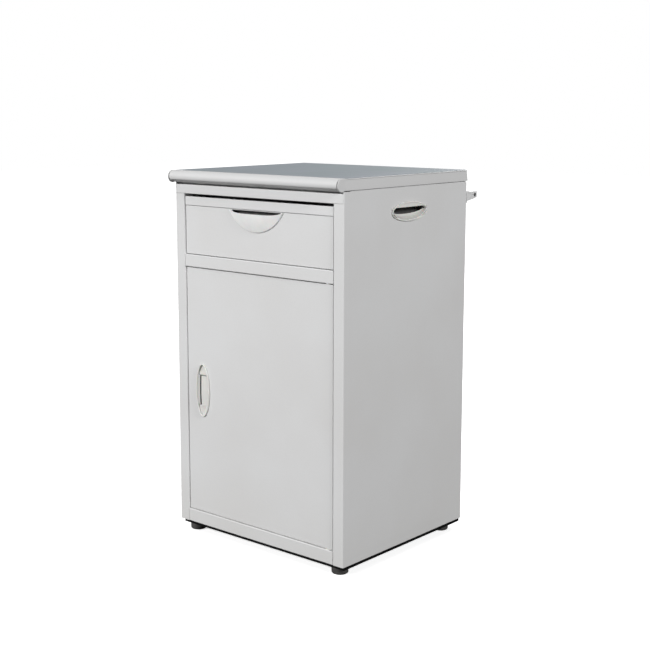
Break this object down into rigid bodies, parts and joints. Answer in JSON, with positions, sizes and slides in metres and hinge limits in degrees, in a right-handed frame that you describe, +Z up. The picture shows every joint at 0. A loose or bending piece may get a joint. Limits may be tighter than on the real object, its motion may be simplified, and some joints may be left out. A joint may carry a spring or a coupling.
{
  "type": "bedside cabinet",
  "caption": "Sheet-steel ward bedside cabinet with hinged door, roller drawer, pull-out board, oval hand grips, towel rail and levelling feet.",
  "frame": {"origin": "on the floor, under the middle of the whole object's box", "axes": "+X to the right seen from the front, the front faces -Y, +Z up"},
  "size_m": [0.454, 0.464, 0.76],
  "materials": {
    "body_paint": "light grey powder coat with a fine satin texture",
    "worktop": "satin blue-grey coated steel sheet",
    "cream_plastic": "moulded off-white plastic, semi-gloss",
    "black_plastic": "matt black moulded plastic",
    "base_paint": "black satin paint",
    "black_foot": "black hard rubber",
    "black_rubber": "soft black rubber",
    "dark_magnet": "dark grey moulded catch body",
    "zinc_steel": "bright zinc-plated steel",
    "bar_steel": "satin stainless tube",
    "white_plastic": "moulded white plastic, semi-gloss",
    "white_nylon": "white moulded nylon"
  },
  "bodies": {
    "carcass": {"side_panel_left": "body_paint", "side_panel_right": "body_paint", "back_panel": "body_paint", "bottom_panel": "body_paint", "divider_panel": "body_paint", "top_rail": "body_paint", "top_collar": "body_paint", "top_cover": "body_paint", "worktop_sheet": "worktop", "front_roll": "body_paint", "base_frame": "base_paint", "shelf": "body_paint", "shelf_brackets": "body_paint", "slide_channel_left": "zinc_steel", "slide_channel_right": "zinc_steel", "cabinet_runner_left": "zinc_steel", "cabinet_runner_right": "zinc_steel", "board_guide_left": "zinc_steel", "board_guide_right": "zinc_steel", "door_catch": "dark_magnet", "hinge_bushes": "white_nylon", "side_handle_left": "cream_plastic", "side_handle_right": "cream_plastic", "side_handle_pockets": "black_plastic", "towel_bar": "bar_steel", "towel_brackets": "body_paint", "towel_screws": "zinc_steel", "back_rivets": "zinc_steel", "foot_nuts": "zinc_steel", "door_buffers": "black_rubber", "cabinet_roller_axles": "zinc_steel"},
    "board": {"pull_board": "body_paint", "board_glides": "white_nylon"},
    "drawer": {"drawer_front": "body_paint", "drawer_tray": "body_paint", "drawer_back": "body_paint", "drawer_pull": "white_plastic", "drawer_pull_pocket": "black_plastic", "drawer_runner_left": "zinc_steel", "drawer_runner_right": "zinc_steel", "drawer_roller_axles": "zinc_steel"},
    "cabinet_wheel_left": {"cabinet_roller_left": "white_nylon"},
    "cabinet_wheel_right": {"cabinet_roller_right": "white_nylon"},
    "drawer_wheel_left": {"drawer_roller_left": "white_nylon"},
    "drawer_wheel_right": {"drawer_roller_right": "white_nylon"},
    "door": {"door_skin": "body_paint", "door_stiffener": "body_paint", "door_handle": "cream_plastic", "door_handle_pocket": "black_plastic", "hinge_plates": "zinc_steel", "hinge_pins": "zinc_steel", "door_strike": "zinc_steel"},
    "foot_front_left": {"foot_pad_front_left": "black_foot", "foot_stud_front_left": "zinc_steel"},
    "foot_front_right": {"foot_pad_front_right": "black_foot", "foot_stud_front_right": "zinc_steel"},
    "foot_rear_left": {"foot_pad_rear_left": "black_foot", "foot_stud_rear_left": "zinc_steel"},
    "foot_rear_right": {"foot_pad_rear_right": "black_foot", "foot_stud_rear_right": "zinc_steel"}
  },
  "joints": [
    {"name": "board_slide", "type": "slide", "parent": "carcass", "child": "board", "axis": [0, -1, 0], "range_m": [0, 0.26]},
    {"name": "drawer_slide", "type": "slide", "parent": "carcass", "child": "drawer", "axis": [0, -1, 0], "range_m": [0, 0.26]},
    {"name": "door_hinge", "type": "hinge", "parent": "carcass", "child": "door", "pos_m": [0.1838, -0.2037, 0.3], "axis": [0, 0, 1], "range_deg": [0, 110]},
    {"name": "cabinet_roller_left_spin", "type": "hinge", "parent": "carcass", "child": "cabinet_wheel_left", "pos_m": [-0.1901, -0.177, 0.6087], "axis": [1, 0, 0], "continuous": true},
    {"name": "drawer_roller_left_spin", "type": "hinge", "parent": "drawer", "child": "drawer_wheel_left", "pos_m": [-0.1885, 0.127, 0.6083], "axis": [1, 0, 0], "continuous": true},
    {"name": "cabinet_roller_right_spin", "type": "hinge", "parent": "carcass", "child": "cabinet_wheel_right", "pos_m": [0.1901, -0.177, 0.6087], "axis": [1, 0, 0], "continuous": true},
    {"name": "drawer_roller_right_spin", "type": "hinge", "parent": "drawer", "child": "drawer_wheel_right", "pos_m": [0.1885, 0.127, 0.6083], "axis": [1, 0, 0], "continuous": true},
    {"name": "foot_front_left_screw", "type": "slide", "parent": "carcass", "child": "foot_front_left", "axis": [0, 0, -1], "range_m": [0, 0.01]},
    {"name": "foot_front_right_screw", "type": "slide", "parent": "carcass", "child": "foot_front_right", "axis": [0, 0, -1], "range_m": [0, 0.01]},
    {"name": "foot_rear_left_screw", "type": "slide", "parent": "carcass", "child": "foot_rear_left", "axis": [0, 0, -1], "range_m": [0, 0.01]},
    {"name": "foot_rear_right_screw", "type": "slide", "parent": "carcass", "child": "foot_rear_right", "axis": [0, 0, -1], "range_m": [0, 0.01]}
  ],
  "couplings": [
    {"joint": "cabinet_roller_left_spin", "follows": "drawer_slide", "rad_per_m": 105.26},
    {"joint": "drawer_roller_left_spin", "follows": "drawer_slide", "rad_per_m": 105.26},
    {"joint": "cabinet_roller_right_spin", "follows": "drawer_slide", "rad_per_m": 105.26},
    {"joint": "drawer_roller_right_spin", "follows": "drawer_slide", "rad_per_m": 105.26}
  ]
}
